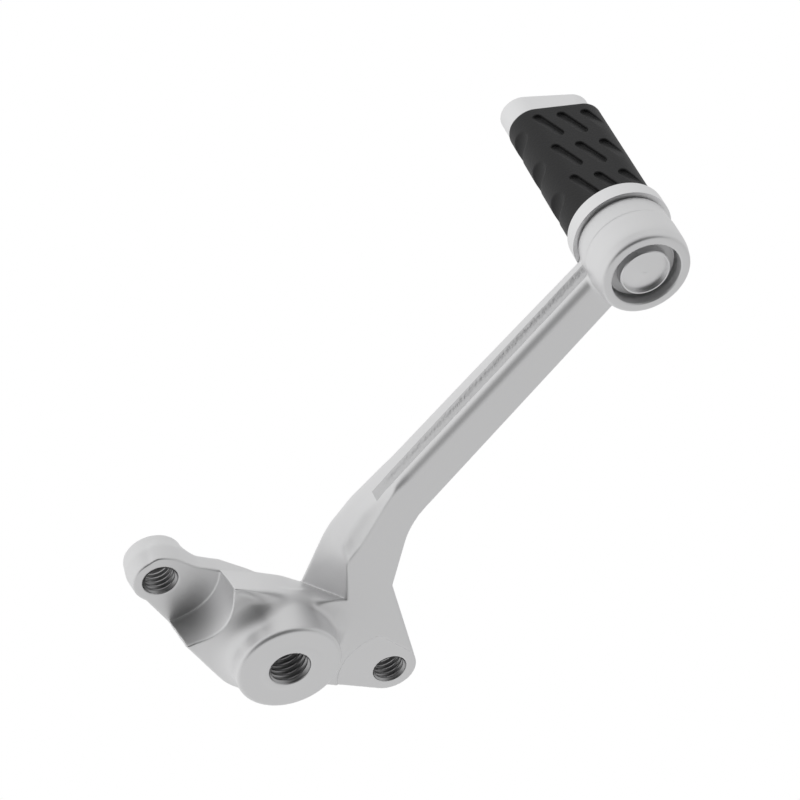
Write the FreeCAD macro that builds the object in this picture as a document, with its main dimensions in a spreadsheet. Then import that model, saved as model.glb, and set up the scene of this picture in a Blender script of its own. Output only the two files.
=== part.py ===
"""Motorcycle gear shift lever: a forged arm with a threaded hub, two threaded lugs and an oval toe peg.

Frame, in millimetres: the origin is the hub's axis on the boss face, +X runs along the arm to the toe peg,
+Y runs from the boss face towards the back of the lever, and +Z is up.
"""
import FreeCAD, Part
import math
import os
import Sketcher

Vector = FreeCAD.Vector

SIZES = {
    # The arm and its levels, measured along +Y from the boss face
    "arm_length": 120.0,
    "arm_front": 8.0,
    "arm_back": 18.5,
    "arm_tip_back": 16.2,
    "arm_half_width": 4.5,
    "arm_waist": 46.0,
    "arm_crown": 5.9,
    "crown_radius": 60.0,
    "arm_side_slope": 0.5,
    "arm_back_round": 3.0,
    "arm_front_bevel": 1.0,
    # The arm's root, where it leaves the hub
    "root_knee_x": 26.5,
    "root_knee_z": 2.2,
    "root_knee_slope": 2.0,
    "notch_x": 17.2,
    "notch_z": -6.1,
    "notch_run_x": 6.4,
    "notch_run_z": 5.1,
    "elbow_x": 24.7,
    "elbow_z": -13.3,
    "throat_x": 41.1,
    "throat_radius": 22.0,
    # The hub
    "boss_radius": 12.0,
    "boss_draft": 0.3,
    "boss_fillet": 3.4,
    "fillet_sink": 0.2,
    "web_level": 9.8,
    "ramp_top": 1.0,
    "ramp_reach": 19.4,
    "ramp_slope": 45.0,
    # The bar and its two lugs
    "left_lug_x": -2.0,
    "left_lug_z": 29.8,
    "left_lug_radius": 6.1,
    "left_lug_face": 17.5,
    "left_lug_back": 25.5,
    "left_lug_draft": 0.7,
    "right_lug_x": 3.5,
    "right_lug_z": -30.9,
    "right_lug_radius": 6.4,
    "right_lug_face": 8.4,
    "spot_face_radius": 13.4,
    "spot_face_draft": 2.0,
    "bar_side": 11.2,
    "bar_side_level": 1.5,
    "bar_side_radius": 12.0,
    "bar_neck_front": 9.6,
    "bar_neck_back": 6.3,
    "rim_radius": 75.0,
    "bar_edge": 19.0,
    "bar_edge_draft": 2.5,
    "rim_top": 0.5,
    "rim_foot": 3.0,
    "bar_thickening": 3.5,
    "lug_foot_bevel": 1.8,
    # The groove along the arm's upper side
    "groove_level": 11.6,
    "groove_width": 3.0,
    "groove_depth": 0.8,
    "scoop_length": 16.5,
    "scoop_depth": 1.4,
    "scoop_radius": 2.9,
    # The threaded holes, at the radius of their tapping drills
    "hub_hole_radius": 4.25,
    "lug_hole_radius": 3.4,
    "hole_chamfer": 0.5,
    # The socket and the toe peg's seat in it
    "socket_front": 2.0,
    "socket_face_radius": 9.6,
    "socket_radius": 10.25,
    "socket_bulge": 4.0,
    "socket_step": 10.5,
    "neck_radius": 10.0,
    "socket_back": 15.2,
    "counterbore_radius": 7.55,
    "counterbore_depth": 3.6,
    "spigot_radius": 5.5,
    "spigot_clearance": 0.05,
    "spigot_recess": 0.6,
    "dish_radius": 4.9,
    "dish_depth": 0.8,
    "washer_radius": 6.9,
    "washer_thickness": 1.0,
    "washer_groove": 0.5,
    # The toe peg
    "flange_gap": 0.4,
    "shoulder_radius": 8.8,
    "flange_radius": 10.9,
    "flange_thickness": 3.4,
    "peg_turn": 54.0,
    "rubber_length": 36.8,
    "rubber_width": 21.5,
    "rubber_height": 10.8,
    "rubber_wall": 2.4,
    "rubber_clearance": 0.1,
    "tip_length": 6.8,
    "tip_slant": 2.0,
    "tip_shift": -0.6,
    "tip_width": 20.0,
    "tip_height": 9.6,
    "tip_bevel": 0.9,
    # The slots and notches in the rubber
    "slot_width": 2.3,
    "slot_depth": 0.8,
    "slot_run": 6.0,
    "slot_drift": 2.7,
    "slot_pitch": 11.2,
    "slot_spacing": 5.5,
    "slot_first": 3.6,
    "slot_offset": -0.4,
    "notch_radius": 3.2,
    "notch_depth": 0.9,
    "notch_first": 6.5,
}

doc = FreeCAD.newDocument("shift_lever")
sheet = doc.addObject("Spreadsheet::Sheet", "sizes")
for row_number, (alias, value) in enumerate(SIZES.items(), start=1):
    sheet.set("A%d" % row_number, alias)
    sheet.set("B%d" % row_number, repr(value))
    sheet.setAlias("B%d" % row_number, alias)
doc.recompute()


def size(alias):
    """The present value of one size."""
    return float(sheet.get(alias))


def new_body(label):
    body = doc.addObject("PartDesign::Body", label)
    body.Label = label
    return body


class Outline:
    """A sketch on one of its body's origin planes, whose sizes follow expressions on the sheet."""

    def __init__(self, body, name, role, shift=("0", "0", "0")):
        self.sketch = body.newObject("Sketcher::SketchObject", name)
        plane = [feature for feature in body.Origin.OriginFeatures if feature.Role == role][0]
        self.sketch.AttachmentSupport = [(plane, "")]
        self.sketch.MapMode = "FlatFace"
        for letter, expression in zip("xyz", shift):
            self.sketch.setExpression("AttachmentOffset.Base." + letter, expression)

    def bind(self, kind, *elements, to):
        """A driving constraint that takes its value from an expression."""
        value = float(self.sketch.evalExpression(to))
        index = self.sketch.addConstraint(Sketcher.Constraint(kind, *elements, value))
        self.sketch.setExpression("Constraints[%d]" % index, to)

    def place(self, geometry, point, x, y):
        """Hold one point of the geometry at (x, y), both expressions."""
        for kind, expression in (("DistanceX", x), ("DistanceY", y)):
            if expression == "0":
                axis = -2 if kind == "DistanceX" else -1
                self.sketch.addConstraint(Sketcher.Constraint("PointOnObject", geometry, point, axis))
            else:
                self.bind(kind, -1, 1, geometry, point, to=expression)

    def circle(self, x, y, radius):
        centre = self.point(x, y)
        across = float(self.sketch.evalExpression(radius))
        index = self.sketch.addGeometry(Part.Circle(centre, Vector(0, 0, 1), across), False)
        self.place(index, 3, x, y)
        self.bind("Radius", index, to=radius)
        return index

    def point(self, x, y):
        return Vector(float(self.sketch.evalExpression(x)), float(self.sketch.evalExpression(y)), 0)

    def profile(self, corners, arcs=None, rounds=None):
        """A closed run of edges through the corners, each a pair of expressions.

        arcs maps an edge's number to a turn, left or right, and a radius expression; other edges are straight.
        rounds maps a corner's number to the radius expression of the arc that rounds it off.
        """
        arcs = arcs or {}
        rounds = rounds or {}
        points = [self.point(x, y) for x, y in corners]
        before = points[-1:] + points[:-1]
        after = points[1:] + points[:1]
        leave = list(points)
        enter = list(points)
        bends = {}
        for number, radius in rounds.items():
            reach = float(self.sketch.evalExpression(radius))
            ahead = (after[number] - points[number]).normalize()
            behind = (before[number] - points[number]).normalize()
            half = ahead.getAngle(behind) / 2
            enter[number] = points[number] + behind * (reach / math.tan(half))
            leave[number] = points[number] + ahead * (reach / math.tan(half))
            middle = points[number] + (ahead + behind).normalize() * (reach / math.sin(half) - reach)
            bends[number] = (middle, behind.cross(ahead).z < 0)
        edges = []
        for number, corner in enumerate(points):
            if number in bends:
                middle, turns_left = bends[number]
                ends = (enter[number], leave[number]) if turns_left else (leave[number], enter[number])
                index = self.sketch.addGeometry(Part.Arc(ends[0], middle, ends[1]), False)
                edges.append((index, 1, 2, True) if turns_left else (index, 2, 1, True))
            start, end = leave[number], enter[(number + 1) % len(points)]
            if number not in arcs:
                index = self.sketch.addGeometry(Part.LineSegment(start, end), False)
                edges.append((index, 1, 2, False))
                continue
            turn, radius = arcs[number]
            reach = float(self.sketch.evalExpression(radius))
            chord = end - start
            rise = reach - math.sqrt(reach * reach - chord.Length ** 2 / 4)
            left = Vector(-chord.y, chord.x, 0).normalize()
            if turn == "left":
                middle = (start + end) * 0.5 - left * rise
                edges.append((self.sketch.addGeometry(Part.Arc(start, middle, end), False), 1, 2, False))
            else:
                middle = (start + end) * 0.5 + left * rise
                edges.append((self.sketch.addGeometry(Part.Arc(end, middle, start), False), 2, 1, False))
            self.bind("Radius", edges[-1][0], to=radius)
        for (edge, _, end, bend), (following, start, _, next_bend) in zip(edges, edges[1:] + edges[:1]):
            kind = "Tangent" if bend or next_bend else "Coincident"
            self.sketch.addConstraint(Sketcher.Constraint(kind, edge, end, following, start))
        straight = [edge for edge in edges if not edge[3]]
        bent = [edge for edge in edges if edge[3]]
        for number, (edge, start, _, _) in enumerate(straight):
            if number not in bends:
                self.place(edge, start, *corners[number])
                continue
            mark = self.sketch.addGeometry(Part.Point(points[number]), True)
            self.place(mark, 1, *corners[number])
            self.sketch.addConstraint(Sketcher.Constraint("PointOnObject", mark, 1, edge))
            self.sketch.addConstraint(Sketcher.Constraint("PointOnObject", mark, 1, straight[number - 1][0]))
        for (edge, _, _, _), number in zip(bent, sorted(bends)):
            self.bind("Radius", edge, to=rounds[number])

    def stadium(self, first, second, radius):
        """Two round ends of one radius joined by straight sides; the ends are pairs of expressions."""
        head, tail = self.point(*first), self.point(*second)
        reach = float(self.sketch.evalExpression(radius))
        along = (tail - head).normalize() * reach
        across = Vector(-along.y, along.x, 0)
        head_arc = self.sketch.addGeometry(Part.Arc(head + across, head - along, head - across), False)
        low_side = self.sketch.addGeometry(Part.LineSegment(head - across, tail - across), False)
        tail_arc = self.sketch.addGeometry(Part.Arc(tail - across, tail + along, tail + across), False)
        high_side = self.sketch.addGeometry(Part.LineSegment(tail + across, head + across), False)
        chain = [head_arc, low_side, tail_arc, high_side]
        for edge, following in zip(chain, chain[1:] + chain[:1]):
            self.sketch.addConstraint(Sketcher.Constraint("Tangent", edge, 2, following, 1))
        self.place(head_arc, 3, *first)
        self.place(tail_arc, 3, *second)
        self.bind("Radius", head_arc, to=radius)

    def slot(self, first, second, radius):
        """A slot from a round head, centred at first, to a square end through second."""
        head, tail = self.point(*first), self.point(*second)
        reach = float(self.sketch.evalExpression(radius))
        along = (tail - head).normalize() * reach
        across = Vector(-along.y, along.x, 0)
        head_arc = self.sketch.addGeometry(Part.Arc(head + across, head - along, head - across), False)
        low_side = self.sketch.addGeometry(Part.LineSegment(head - across, tail - across), False)
        end = self.sketch.addGeometry(Part.LineSegment(tail - across, tail + across), False)
        high_side = self.sketch.addGeometry(Part.LineSegment(tail + across, head + across), False)
        middle = self.sketch.addGeometry(Part.Point(tail), True)
        for kind, *elements in (
            ("Tangent", head_arc, 2, low_side, 1),
            ("Coincident", low_side, 2, end, 1),
            ("Coincident", end, 2, high_side, 1),
            ("Tangent", high_side, 2, head_arc, 1),
            ("Symmetric", end, 1, end, 2, middle, 1),
            ("Parallel", low_side, high_side),
            ("Perpendicular", low_side, end),
        ):
            self.sketch.addConstraint(Sketcher.Constraint(kind, *elements))
        self.place(head_arc, 3, *first)
        self.place(middle, 1, *second)
        self.bind("Radius", head_arc, to=radius)


def on_level(expression):
    """The shift that puts a sketch of the XZ plane at +Y of the expression."""
    return ("0", "0", "-(%s)" % expression)


def feature(body, kind, name, profile, **properties):
    """A PartDesign feature with its profile and its fixed properties."""
    made = body.newObject("PartDesign::" + kind, name)
    made.Profile = profile.sketch
    for key, setting in properties.items():
        setattr(made, key, setting)
    profile.sketch.Visibility = False
    return made


def turned(body, name, corners, shift=("0", "0", "0"), arcs=None, cut=False):
    """A full turn of an outline of (radius, level) pairs about the Y axis through the shift."""
    outline = Outline(body, name + "_outline", "XY_Plane", shift)
    outline.profile(corners, arcs)
    made = feature(body, "Groove" if cut else "Revolution", name, outline)
    made.ReferenceAxis = (outline.sketch, ["V_Axis"])
    made.Angle = 360
    return made


def bored(body, name, x, z, radius, start, end):
    """A round pocket about the Y axis through (x, z), from one level to another."""
    outline = Outline(body, name + "_outline", "XZ_Plane", on_level(start))
    outline.circle(x, z, radius)
    made = feature(body, "Pocket", name, outline)
    made.setExpression("Length", "(%s) - (%s)" % (end, start))
    return made


def tapped(body, name, x, z, radius, start, end):
    """A tapping hole with a chamfer at each mouth."""
    wide = "%s + sizes.hole_chamfer" % radius
    corners = [
        ("0", start),
        (wide, start),
        (radius, "%s + sizes.hole_chamfer" % start),
        (radius, "%s - sizes.hole_chamfer" % end),
        (wide, end),
        ("0", end),
    ]
    return turned(body, name, corners, (x, "0", z), cut=True)


def arm_outline(body, name, level, slope):
    """The arm, its root and the right lug seen from the front; slope widens the upper side to the back."""
    outline = Outline(body, name, "XZ_Plane", on_level(level))
    upper = "%s * sizes.arm_side_slope" % slope
    outline.profile([
        ("sizes.arm_length", "sizes.arm_half_width - 0.1 + " + upper),
        ("sizes.arm_waist", "sizes.arm_crown + " + upper),
        ("sizes.root_knee_x - 3", "sizes.root_knee_z - 0.5 + %s * sizes.root_knee_slope" % slope),
        ("0", "sizes.bar_side"),
        ("-sizes.boss_radius * 0.9", "-sizes.boss_radius * 0.3"),
        ("-sizes.boss_radius * 0.62", "-sizes.boss_radius * 1.3"),
        ("sizes.right_lug_x - sizes.right_lug_radius * 0.96", "sizes.right_lug_z - sizes.right_lug_radius * 0.28"),
        ("sizes.right_lug_x + sizes.right_lug_radius * 0.8", "sizes.right_lug_z - sizes.right_lug_radius * 0.6"),
        ("sizes.elbow_x", "sizes.elbow_z"),
        ("sizes.throat_x", "-sizes.arm_half_width"),
        ("sizes.arm_length", "-sizes.arm_half_width"),
    ], arcs={6: ("left", "sizes.right_lug_radius")}, rounds={1: "sizes.crown_radius", 9: "sizes.throat_radius"})
    return outline


def bar_outline(body, name, level, draft, lug_radius):
    """The bar seen from the front, at one level, from inside the hub to the middle of the left lug."""
    outline = Outline(body, name, "XZ_Plane", on_level(level))
    outline.profile([
        ("-(sizes.bar_edge - %s)" % draft, "0"),
        ("-sizes.boss_radius * 0.6", "-sizes.boss_radius * 1.35"),
        ("0", "-sizes.boss_radius / 2"),
        ("sizes.bar_side + 2", "sizes.bar_side_level"),
        ("sizes.bar_side + 2", "sizes.left_lug_z * 0.6"),
        ("sizes.left_lug_x + %s" % lug_radius, "sizes.left_lug_z"),
        ("sizes.left_lug_x - 0.9 * %s" % lug_radius, "sizes.left_lug_z + 0.2 * %s" % lug_radius),
    ], rounds={0: "sizes.boss_radius"})
    return outline


def rim_outline(body, name, level, thickness):
    """The rim along the bar's right side, at one level: everything outside the rim's inner edge."""
    outline = Outline(body, name, "XZ_Plane", on_level(level))
    outline.profile([
        ("sizes.bar_side - %s" % thickness, "sizes.bar_side_level"),
        ("sizes.bar_side + 2", "sizes.bar_side_level"),
        ("sizes.bar_side + 2", "sizes.left_lug_z"),
        ("sizes.left_lug_x + sizes.left_lug_radius - %s" % thickness, "sizes.left_lug_z"),
    ], {3: ("right", "sizes.rim_radius")})
    return outline


def notch_outline(body, name, level, neck):
    """The open space between the bar and the arm, at one level: its corner runs inwards to the back."""
    outline = Outline(body, name, "XZ_Plane", on_level(level))
    run = "((%s - sizes.arm_front) / (sizes.arm_back - sizes.arm_front))" % level
    corner = ("sizes.notch_x - %s * sizes.notch_run_x" % run, "sizes.notch_z + %s * sizes.notch_run_z" % run)
    knee = ("sizes.root_knee_x", "sizes.root_knee_z + %s * sizes.root_knee_slope" % run)
    beyond = tuple("1.5 * (%s) - 0.5 * (%s)" % pair for pair in zip(knee, corner))
    outline.profile([
        corner,
        beyond,
        ("sizes.arm_waist", "sizes.left_lug_z"),
        ("sizes.arm_waist", "sizes.left_lug_z * 1.5"),
        ("sizes.bar_side", "sizes.left_lug_z * 1.5"),
        ("sizes.left_lug_x + sizes.left_lug_radius", "sizes.left_lug_z"),
        (neck, "sizes.left_lug_z * 0.65"),
        ("sizes.bar_side", "sizes.bar_side_level * 2"),
    ], rounds={6: "sizes.bar_side_radius"})
    return outline


def loft(body, name, profiles, cut=False):
    made = feature(body, "SubtractiveLoft" if cut else "AdditiveLoft", name, profiles[0])
    made.Sections = [profile.sketch for profile in profiles[1:]]
    made.Ruled = True
    for profile in profiles[1:]:
        profile.sketch.Visibility = False
    return made


def eased(body, name, kind, amount, chosen):
    """A Fillet or Chamfer on those edges of the body's present shape whose middle and direction are chosen."""
    doc.recompute()
    base = body.Tip
    names = []
    for number, edge in enumerate(base.Shape.Edges, start=1):
        middle = edge.valueAt((edge.FirstParameter + edge.LastParameter) / 2)
        along = edge.Vertexes[-1].Point - edge.Vertexes[0].Point
        if chosen(middle, along):
            names.append("Edge%d" % number)
    made = body.newObject("PartDesign::" + kind, name)
    made.Base = (base, names)
    made.setExpression("Radius" if kind == "Fillet" else "Size", amount)
    return made


def make_lever():
    """The forged and machined lever: arm, bar, boss, ramp and socket joined, then every cut."""
    body = new_body("lever_body")
    back = "sizes.arm_back"
    foot_radius = "sizes.boss_radius + sizes.boss_draft + sizes.boss_fillet"
    turned(body, "boss", [
        ("0", "0"),
        ("sizes.boss_radius", "0"),
        ("sizes.boss_radius + sizes.boss_draft", "sizes.web_level - sizes.boss_fillet"),
        (foot_radius, "sizes.web_level + sizes.fillet_sink"),
        (foot_radius, back),
        ("0", back),
    ], arcs={2: ("right", "sizes.boss_fillet + sizes.fillet_sink")})

    ramp = Outline(body, "ramp_outline", "XZ_Plane", on_level("sizes.arm_front + 1"))
    ramp.profile([
        ("sizes.boss_radius * 1.1", "-sizes.boss_radius * 0.25"),
        ("sizes.boss_radius * 0.92", "-sizes.ramp_reach"),
        ("-sizes.boss_radius / 2", "-sizes.ramp_reach"),
        ("-sizes.boss_radius * 0.92", "-sizes.boss_radius / 2"),
        ("0", "sizes.boss_radius * 0.75"),
    ])
    pad = feature(body, "Pad", "ramp", ramp)
    pad.setExpression("Length", "sizes.arm_front + 1 - sizes.ramp_top")
    pad.setExpression("TaperAngle", "-sizes.ramp_slope")

    loft(body, "arm", [
        arm_outline(body, "arm_front_outline", "sizes.arm_front", "0"),
        arm_outline(body, "arm_back_outline", "sizes.arm_back", "1"),
    ])
    behind_arm = Outline(body, "behind_arm_outline", "XY_Plane")
    behind_arm.profile([
        ("sizes.arm_waist", back),
        ("sizes.arm_length", "sizes.arm_tip_back"),
        ("sizes.arm_length + 1", back + " + 1"),
        ("sizes.arm_waist", back + " + 1"),
    ])
    cut = feature(body, "Pocket", "behind_arm", behind_arm, Midplane=True)
    cut.setExpression("Length", "sizes.arm_half_width * 6")
    reach = size("arm_waist")
    eased(body, "arm_back_edge", "Fillet", "sizes.arm_back_round",
          lambda middle, along: middle.x > reach and middle.z > 1 and middle.y > size("arm_tip_back") - 1
          and abs(along.x) > 10)
    eased(body, "arm_front_edge", "Chamfer", "sizes.arm_front_bevel",
          lambda middle, along: middle.x > reach and middle.z > 1 and middle.y < size("arm_front") + 1
          and abs(along.x) > 10)
    bar_back = back + " + sizes.bar_thickening"
    lug_front = "(sizes.left_lug_radius - 2 * sizes.left_lug_draft)"
    loft(body, "bar", [
        bar_outline(body, "bar_front_outline", "sizes.web_level", "sizes.bar_edge_draft", lug_front),
        bar_outline(body, "bar_middle_outline", "sizes.left_lug_face", "0", "sizes.left_lug_radius"),
        bar_outline(body, "bar_back_outline", bar_back, "0", "sizes.left_lug_radius"),
    ])
    loft(body, "rim", [
        rim_outline(body, "rim_top_outline", "sizes.arm_front", "sizes.rim_top"),
        rim_outline(body, "rim_foot_outline", "(sizes.web_level + 0.5)", "sizes.rim_foot"),
    ])
    loft(body, "notch", [
        notch_outline(body, "notch_front_outline", "(sizes.arm_front - 1)", "sizes.bar_neck_front"),
        notch_outline(body, "notch_middle_outline", "sizes.left_lug_face", "sizes.bar_neck_back"),
        notch_outline(body, "notch_back_outline", "(sizes.arm_back + sizes.bar_thickening + 1)",
                      "sizes.bar_neck_back"),
    ], cut=True)
    behind_bar = Outline(body, "behind_bar_outline", "YZ_Plane")
    behind_bar.profile([
        (back, "sizes.right_lug_z * 2"),
        (back, "sizes.left_lug_z * 0.36"),
        (bar_back, "sizes.left_lug_z * 0.62"),
        (bar_back + " + 1", "sizes.left_lug_z * 0.62"),
        (bar_back + " + 1", "sizes.right_lug_z * 2"),
    ])
    cut = feature(body, "Pocket", "behind_bar", behind_bar, Midplane=True)
    cut.setExpression("Length", "sizes.bar_edge * 4")
    turned(body, "left_lug", [
        ("0", "sizes.left_lug_face - 1"),
        ("sizes.left_lug_radius", "sizes.left_lug_face - 1"),
        ("sizes.left_lug_radius + sizes.left_lug_draft", "sizes.left_lug_back"),
        ("0", "sizes.left_lug_back"),
    ], ("sizes.left_lug_x", "0", "sizes.left_lug_z"))
    lug_axis = Vector(size("left_lug_x"), 0, size("left_lug_z"))
    rear = size("arm_back") + size("bar_thickening")
    eased(body, "lug_foot", "Chamfer", "sizes.lug_foot_bevel",
          lambda middle, along: abs(middle.y - rear) < 0.1
          and abs(Vector(middle.x - lug_axis.x, 0, middle.z - lug_axis.z).Length - size("left_lug_radius")) < 1)

    at_peg = ("sizes.arm_length", "0", "0")
    turned(body, "socket", [
        ("0", "sizes.socket_front"),
        ("sizes.socket_face_radius", "sizes.socket_front"),
        ("sizes.socket_radius", "sizes.socket_front + sizes.socket_bulge"),
        ("sizes.socket_radius", "sizes.socket_step"),
        ("sizes.neck_radius", "sizes.socket_step"),
        ("sizes.neck_radius", "sizes.socket_back"),
        ("0", "sizes.socket_back"),
    ], at_peg, arcs={1: ("left", "sizes.socket_bulge * 3")})

    bored(body, "counterbore", "sizes.arm_length", "0", "sizes.counterbore_radius",
          "sizes.socket_front", "sizes.socket_front + sizes.counterbore_depth")
    bored(body, "peg_bore", "sizes.arm_length", "0", "sizes.spigot_radius + sizes.spigot_clearance",
          "sizes.socket_front", back)
    turned(body, "left_spot_face", [
        ("0", "0"),
        ("sizes.spot_face_radius + sizes.spot_face_draft", "0"),
        ("sizes.spot_face_radius", "sizes.left_lug_face"),
        ("0", "sizes.left_lug_face"),
    ], ("sizes.left_lug_x", "0", "sizes.left_lug_z"), cut=True)

    spot = Outline(body, "right_spot_face_outline", "XZ_Plane", on_level("0"))
    spot.profile([
        ("sizes.right_lug_x - sizes.spot_face_radius", "sizes.right_lug_z"),
        ("sizes.right_lug_x - sizes.spot_face_radius", "sizes.right_lug_z * 1.5"),
        ("sizes.right_lug_x + sizes.right_lug_radius * 0.8", "sizes.right_lug_z * 1.5"),
        ("sizes.right_lug_x + sizes.spot_face_radius * 0.6", "sizes.right_lug_z + sizes.spot_face_radius * 0.8"),
    ], {3: ("left", "sizes.spot_face_radius")})
    cut = feature(body, "Pocket", "right_spot_face", spot)
    cut.setExpression("Length", "sizes.right_lug_face")

    groove = Outline(body, "side_groove_outline", "XY_Plane", ("0", "0", "sizes.arm_half_width * 2"))
    groove.stadium(("sizes.arm_waist - 3", "sizes.groove_level"),
                   ("sizes.arm_length - sizes.socket_radius", "sizes.groove_level"), "sizes.groove_width / 2")
    cut = feature(body, "Pocket", "side_groove", groove)
    cut.setExpression("Length", "sizes.arm_half_width + sizes.groove_depth")

    scoop = []
    for name, x, z, depth in (
            ("low", "sizes.root_knee_x", "sizes.root_knee_z", "0.2"),
            ("middle", "sizes.root_knee_x + sizes.scoop_length * 0.4", "sizes.root_knee_z + 1.5", "sizes.scoop_depth"),
            ("high", "sizes.root_knee_x + sizes.scoop_length", "sizes.arm_crown - 0.3", "sizes.groove_depth")):
        section = Outline(body, "scoop_%s_outline" % name, "YZ_Plane", ("0", "0", x))
        section.circle("sizes.arm_front + sizes.scoop_radius / 2", z + " + sizes.scoop_radius - " + depth,
                       "sizes.scoop_radius")
        scoop.append(section)
    loft(body, "scoop", scoop, cut=True)

    tapped(body, "hub_hole", "0", "0", "sizes.hub_hole_radius", "0", back)
    tapped(body, "left_lug_hole", "sizes.left_lug_x", "sizes.left_lug_z", "sizes.lug_hole_radius",
           "sizes.left_lug_face", "sizes.left_lug_back")
    tapped(body, "right_lug_hole", "sizes.right_lug_x", "sizes.right_lug_z", "sizes.lug_hole_radius",
           "sizes.right_lug_face", back)
    return body


def seat_on_peg_axis(body):
    """Carry a body drawn about its own Y axis to the socket, with the peg's long side turned downwards."""
    body.Placement = FreeCAD.Placement(Vector(), FreeCAD.Rotation(Vector(0, 1, 0), 1))
    body.setExpression("Placement.Base.x", "sizes.arm_length")
    body.setExpression("Placement.Rotation.Angle", "sizes.peg_turn")


FLANGE_BACK = "sizes.socket_back + sizes.flange_gap + sizes.flange_thickness"
RUBBER_END = FLANGE_BACK + " + sizes.rubber_length"
WASHER_BACK = "sizes.socket_front + sizes.counterbore_depth"


def oval(body, name, level, width, height, shift="0"):
    """A flat-sided oval about the peg's axis, its long side along the body's own X."""
    outline = Outline(body, name, "XZ_Plane", on_level(level))
    reach = "((%s) - (%s)) / 2" % (width, height)
    outline.stadium(("%s - %s" % (shift, reach), "0"), ("%s + %s" % (shift, reach), "0"), "(%s) / 2" % height)
    return outline


def make_peg():
    """The toe peg: dished spigot, shoulder and flange in one turning, then the oval core and tip."""
    body = new_body("toe_peg")
    face = "sizes.socket_front + sizes.spigot_recess"
    groove_radius = "sizes.spigot_radius - sizes.washer_groove"
    washer_front = WASHER_BACK + " - sizes.washer_thickness"
    turned(body, "turning", [
        ("0", face + " + sizes.dish_depth * 0.4"),
        ("sizes.dish_radius", face + " + sizes.dish_depth"),
        ("sizes.dish_radius + 0.15", face),
        ("sizes.spigot_radius - 0.2", face),
        ("sizes.spigot_radius", face + " + 0.2"),
        ("sizes.spigot_radius", washer_front + " - sizes.spigot_clearance"),
        (groove_radius, washer_front + " - sizes.spigot_clearance"),
        (groove_radius, WASHER_BACK + " + sizes.spigot_clearance"),
        ("sizes.spigot_radius", WASHER_BACK + " + sizes.spigot_clearance"),
        ("sizes.spigot_radius", "sizes.socket_back"),
        ("sizes.shoulder_radius", "sizes.socket_back"),
        ("sizes.shoulder_radius", "sizes.socket_back + sizes.flange_gap"),
        ("sizes.flange_radius", "sizes.socket_back + sizes.flange_gap"),
        ("sizes.flange_radius", FLANGE_BACK),
        ("0", FLANGE_BACK),
    ])
    core = oval(body, "core_outline", FLANGE_BACK, "sizes.rubber_width - 2 * sizes.rubber_wall",
                "sizes.rubber_height - 2 * sizes.rubber_wall")
    pad = feature(body, "Pad", "core", core, Reversed=True)
    pad.setExpression("Length", "sizes.rubber_length")
    tip = oval(body, "tip_outline", RUBBER_END, "sizes.tip_width", "sizes.tip_height", "sizes.tip_shift")
    pad = feature(body, "Pad", "tip", tip, Reversed=True)
    pad.setExpression("Length", "sizes.tip_length")
    tip_end = RUBBER_END + " + sizes.tip_length"
    slant = Outline(body, "slant_outline", "XY_Plane")
    slant.profile([
        ("sizes.tip_shift - sizes.tip_width / 2 - 1", tip_end),
        ("sizes.tip_shift + sizes.tip_width / 2", tip_end + " - sizes.tip_slant"),
        ("sizes.tip_shift + sizes.tip_width", tip_end + " + 1"),
        ("sizes.tip_shift - sizes.tip_width / 2 - 1", tip_end + " + 1"),
    ])
    cut = feature(body, "Pocket", "slant", slant, Midplane=True)
    cut.setExpression("Length", "sizes.tip_height * 2")
    doc.recompute()
    tip_back = float(sheet.evalExpression(tip_end)) - size("tip_slant")
    eased(body, "tip_edge", "Chamfer", "sizes.tip_bevel", lambda middle, along: middle.y > tip_back - 0.5)
    seat_on_peg_axis(body)
    return body


def make_rubber():
    """The moulded sleeve: an oval tube round the core, with slanted slots in both broad sides."""
    body = new_body("peg_rubber")
    sleeve = oval(body, "sleeve_outline", FLANGE_BACK, "sizes.rubber_width", "sizes.rubber_height")
    pad = feature(body, "Pad", "sleeve", sleeve, Reversed=True)
    pad.setExpression("Length", "sizes.rubber_length")
    inner = "2 * (sizes.rubber_wall - sizes.rubber_clearance)"
    core = oval(body, "inside_outline", FLANGE_BACK, "sizes.rubber_width - " + inner,
                "sizes.rubber_height - " + inner)
    cut = feature(body, "Pocket", "inside", core)
    cut.setExpression("Length", "sizes.rubber_length")
    for side, sign in (("upper", ""), ("lower", "-")):
        slots = Outline(body, side + "_slots_outline", "XY_Plane", ("0", "0", sign + "sizes.rubber_height / 2"))
        for column in (-1, 0, 1):
            for row in range(3):
                x = "%s(sizes.slot_offset + %d * sizes.slot_spacing)" % (sign, column)
                y = "%s - sizes.slot_first - %d * sizes.slot_pitch" % (RUBBER_END, row)
                slots.slot((x, y), ("%s + %ssizes.slot_drift" % (x, sign), y + " - sizes.slot_run"),
                           "sizes.slot_width / 2")
        cut = feature(body, "Pocket", side + "_slots", slots, Reversed=bool(sign))
        cut.setExpression("Length", "sizes.slot_depth")
    notches = Outline(body, "side_notches_outline", "XY_Plane")
    for row in range(3):
        notches.circle("-(sizes.rubber_width / 2 + sizes.notch_radius - sizes.notch_depth)",
                       "%s - sizes.notch_first - %d * sizes.slot_pitch" % (RUBBER_END, row), "sizes.notch_radius")
    cut = feature(body, "Pocket", "side_notches", notches, Midplane=True)
    cut.setExpression("Length", "sizes.rubber_height")
    seat_on_peg_axis(body)
    return body


def make_washer():
    """The retaining washer, flat on the counterbore's floor and held in the spigot's groove."""
    body = new_body("retaining_washer")
    front = WASHER_BACK + " - sizes.washer_thickness"
    inner = "sizes.spigot_radius - sizes.washer_groove + sizes.spigot_clearance"
    turned(body, "ring", [
        (inner, front),
        ("sizes.washer_radius", front),
        ("sizes.washer_radius", WASHER_BACK),
        (inner, WASHER_BACK),
    ])
    seat_on_peg_axis(body)
    return body


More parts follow.
